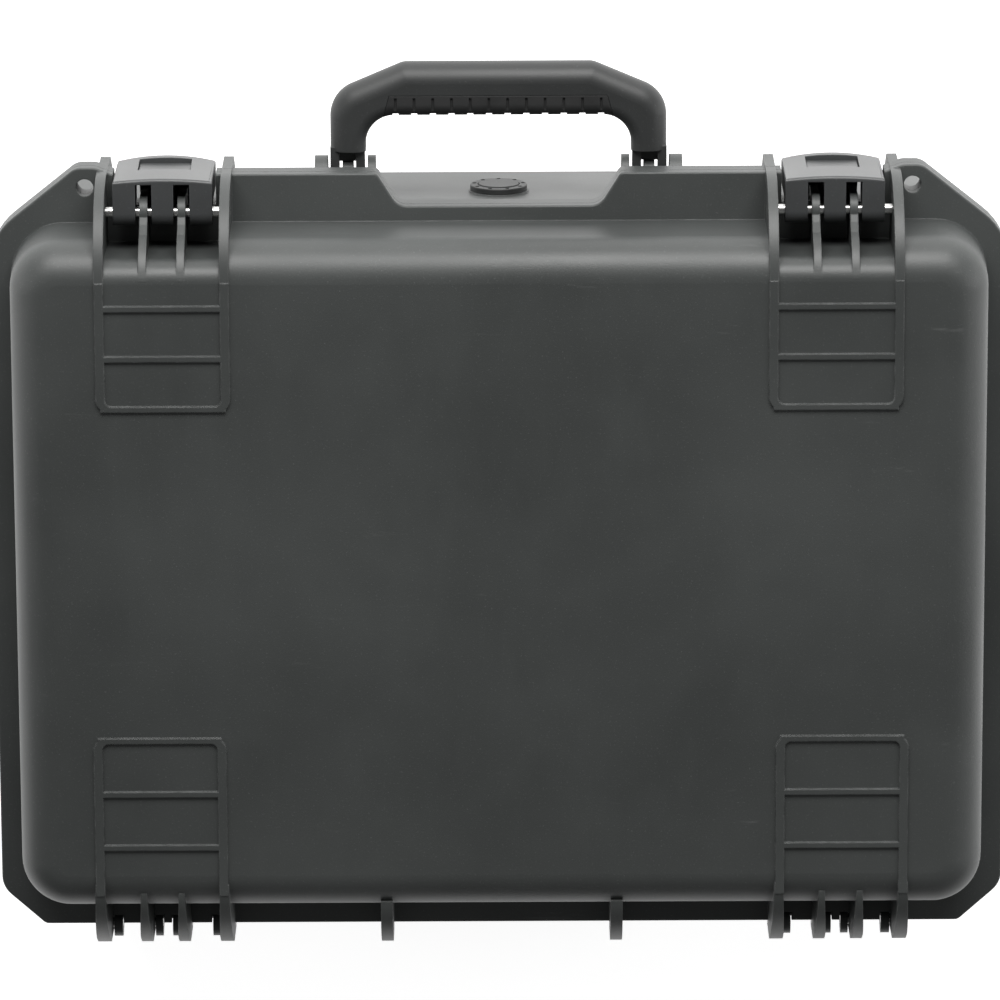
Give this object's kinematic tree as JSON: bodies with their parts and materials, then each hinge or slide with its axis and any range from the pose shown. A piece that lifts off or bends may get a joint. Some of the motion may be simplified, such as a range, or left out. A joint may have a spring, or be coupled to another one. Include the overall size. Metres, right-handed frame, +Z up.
{
  "type": "hard case with tray",
  "caption": "Moulded hard case with a hinged lid, folding handle, press-release latches, purge valve and a lift-out tray with removable dividers.",
  "frame": {"origin": "middle of the flat underside of the base", "axes": "+Z up with the case lying on its base, -Y towards the handle and latches, +X to the right of someone facing them"},
  "size_m": [0.466, 0.4103, 0.1711],
  "materials": {
    "case": "fine moulded texture, satin",
    "latch": "satin moulded",
    "trim": "satin moulded",
    "grip": "matte",
    "seal": "matte",
    "steel": "drawn",
    "membrane": "woven",
    "foam": "open-cell foam",
    "tray": "satin moulded",
    "divider": "satin moulded"
  },
  "bodies": {
    "base": {"base_shell": "case", "hinge_pin_left_1": "steel", "hinge_pin_left_2": "steel", "hinge_pin_left_3": "steel", "hinge_pin_left_4": "steel", "hinge_pin_right_1": "steel", "hinge_pin_right_2": "steel", "hinge_pin_right_3": "steel", "hinge_pin_right_4": "steel", "handle_pin_left": "steel", "handle_pin_right": "steel", "valve_body": "trim", "valve_cap": "trim", "valve_seal": "seal", "valve_membrane": "membrane", "valve_nut": "trim", "floor_foam": "foam"},
    "lid": {"lid_shell": "case", "lid_seal": "seal", "lid_foam": "foam", "latch_pin_left": "steel", "latch_pin_right": "steel"},
    "handle": {"handle_core": "trim", "handle_grip": "grip"},
    "tray": {"tray_shell": "tray", "tray_divider_1": "divider", "tray_divider_2": "divider"},
    "latch_left": {"latch_body_left": "latch", "button_pin_left": "steel", "button_spring_left": "steel"},
    "button_left": {"latch_button_left": "latch"},
    "latch_right": {"latch_body_right": "latch", "button_pin_right": "steel", "button_spring_right": "steel"},
    "button_right": {"latch_button_right": "latch"}
  },
  "joints": [
    {"name": "lid_hinge", "type": "hinge", "parent": "base", "child": "lid", "pos_m": [0, 0.1795, 0.1182], "axis": [-1, 0, 0], "range_deg": [0, 105]},
    {"name": "handle_swing", "type": "hinge", "parent": "base", "child": "handle", "pos_m": [0, -0.172, 0.092], "axis": [1, 0, 0], "range_deg": [-15, 86]},
    {"name": "tray_lift", "type": "slide", "parent": "base", "child": "tray", "axis": [0, 0, 1], "range_m": [0, 0.01]},
    {"name": "latch_left_swing", "type": "hinge", "parent": "lid", "child": "latch_left", "pos_m": [-0.152, -0.1648, 0.14], "axis": [-1, 0, 0], "range_deg": [0, 90]},
    {"name": "button_left_press", "type": "hinge", "parent": "latch_left", "child": "button_left", "pos_m": [-0.152, -0.1752, 0.112], "axis": [-1, 0, 0], "range_deg": [0, 12], "stiffness_Nm_per_rad": 0.08, "springref_deg": -6.88, "deforming": ["button_spring_left"]},
    {"name": "latch_right_swing", "type": "hinge", "parent": "lid", "child": "latch_right", "pos_m": [0.152, -0.1648, 0.14], "axis": [-1, 0, 0], "range_deg": [0, 90]},
    {"name": "button_right_press", "type": "hinge", "parent": "latch_right", "child": "button_right", "pos_m": [0.152, -0.1752, 0.112], "axis": [-1, 0, 0], "range_deg": [0, 12], "stiffness_Nm_per_rad": 0.08, "springref_deg": -6.88, "deforming": ["button_spring_right"]}
  ]
}
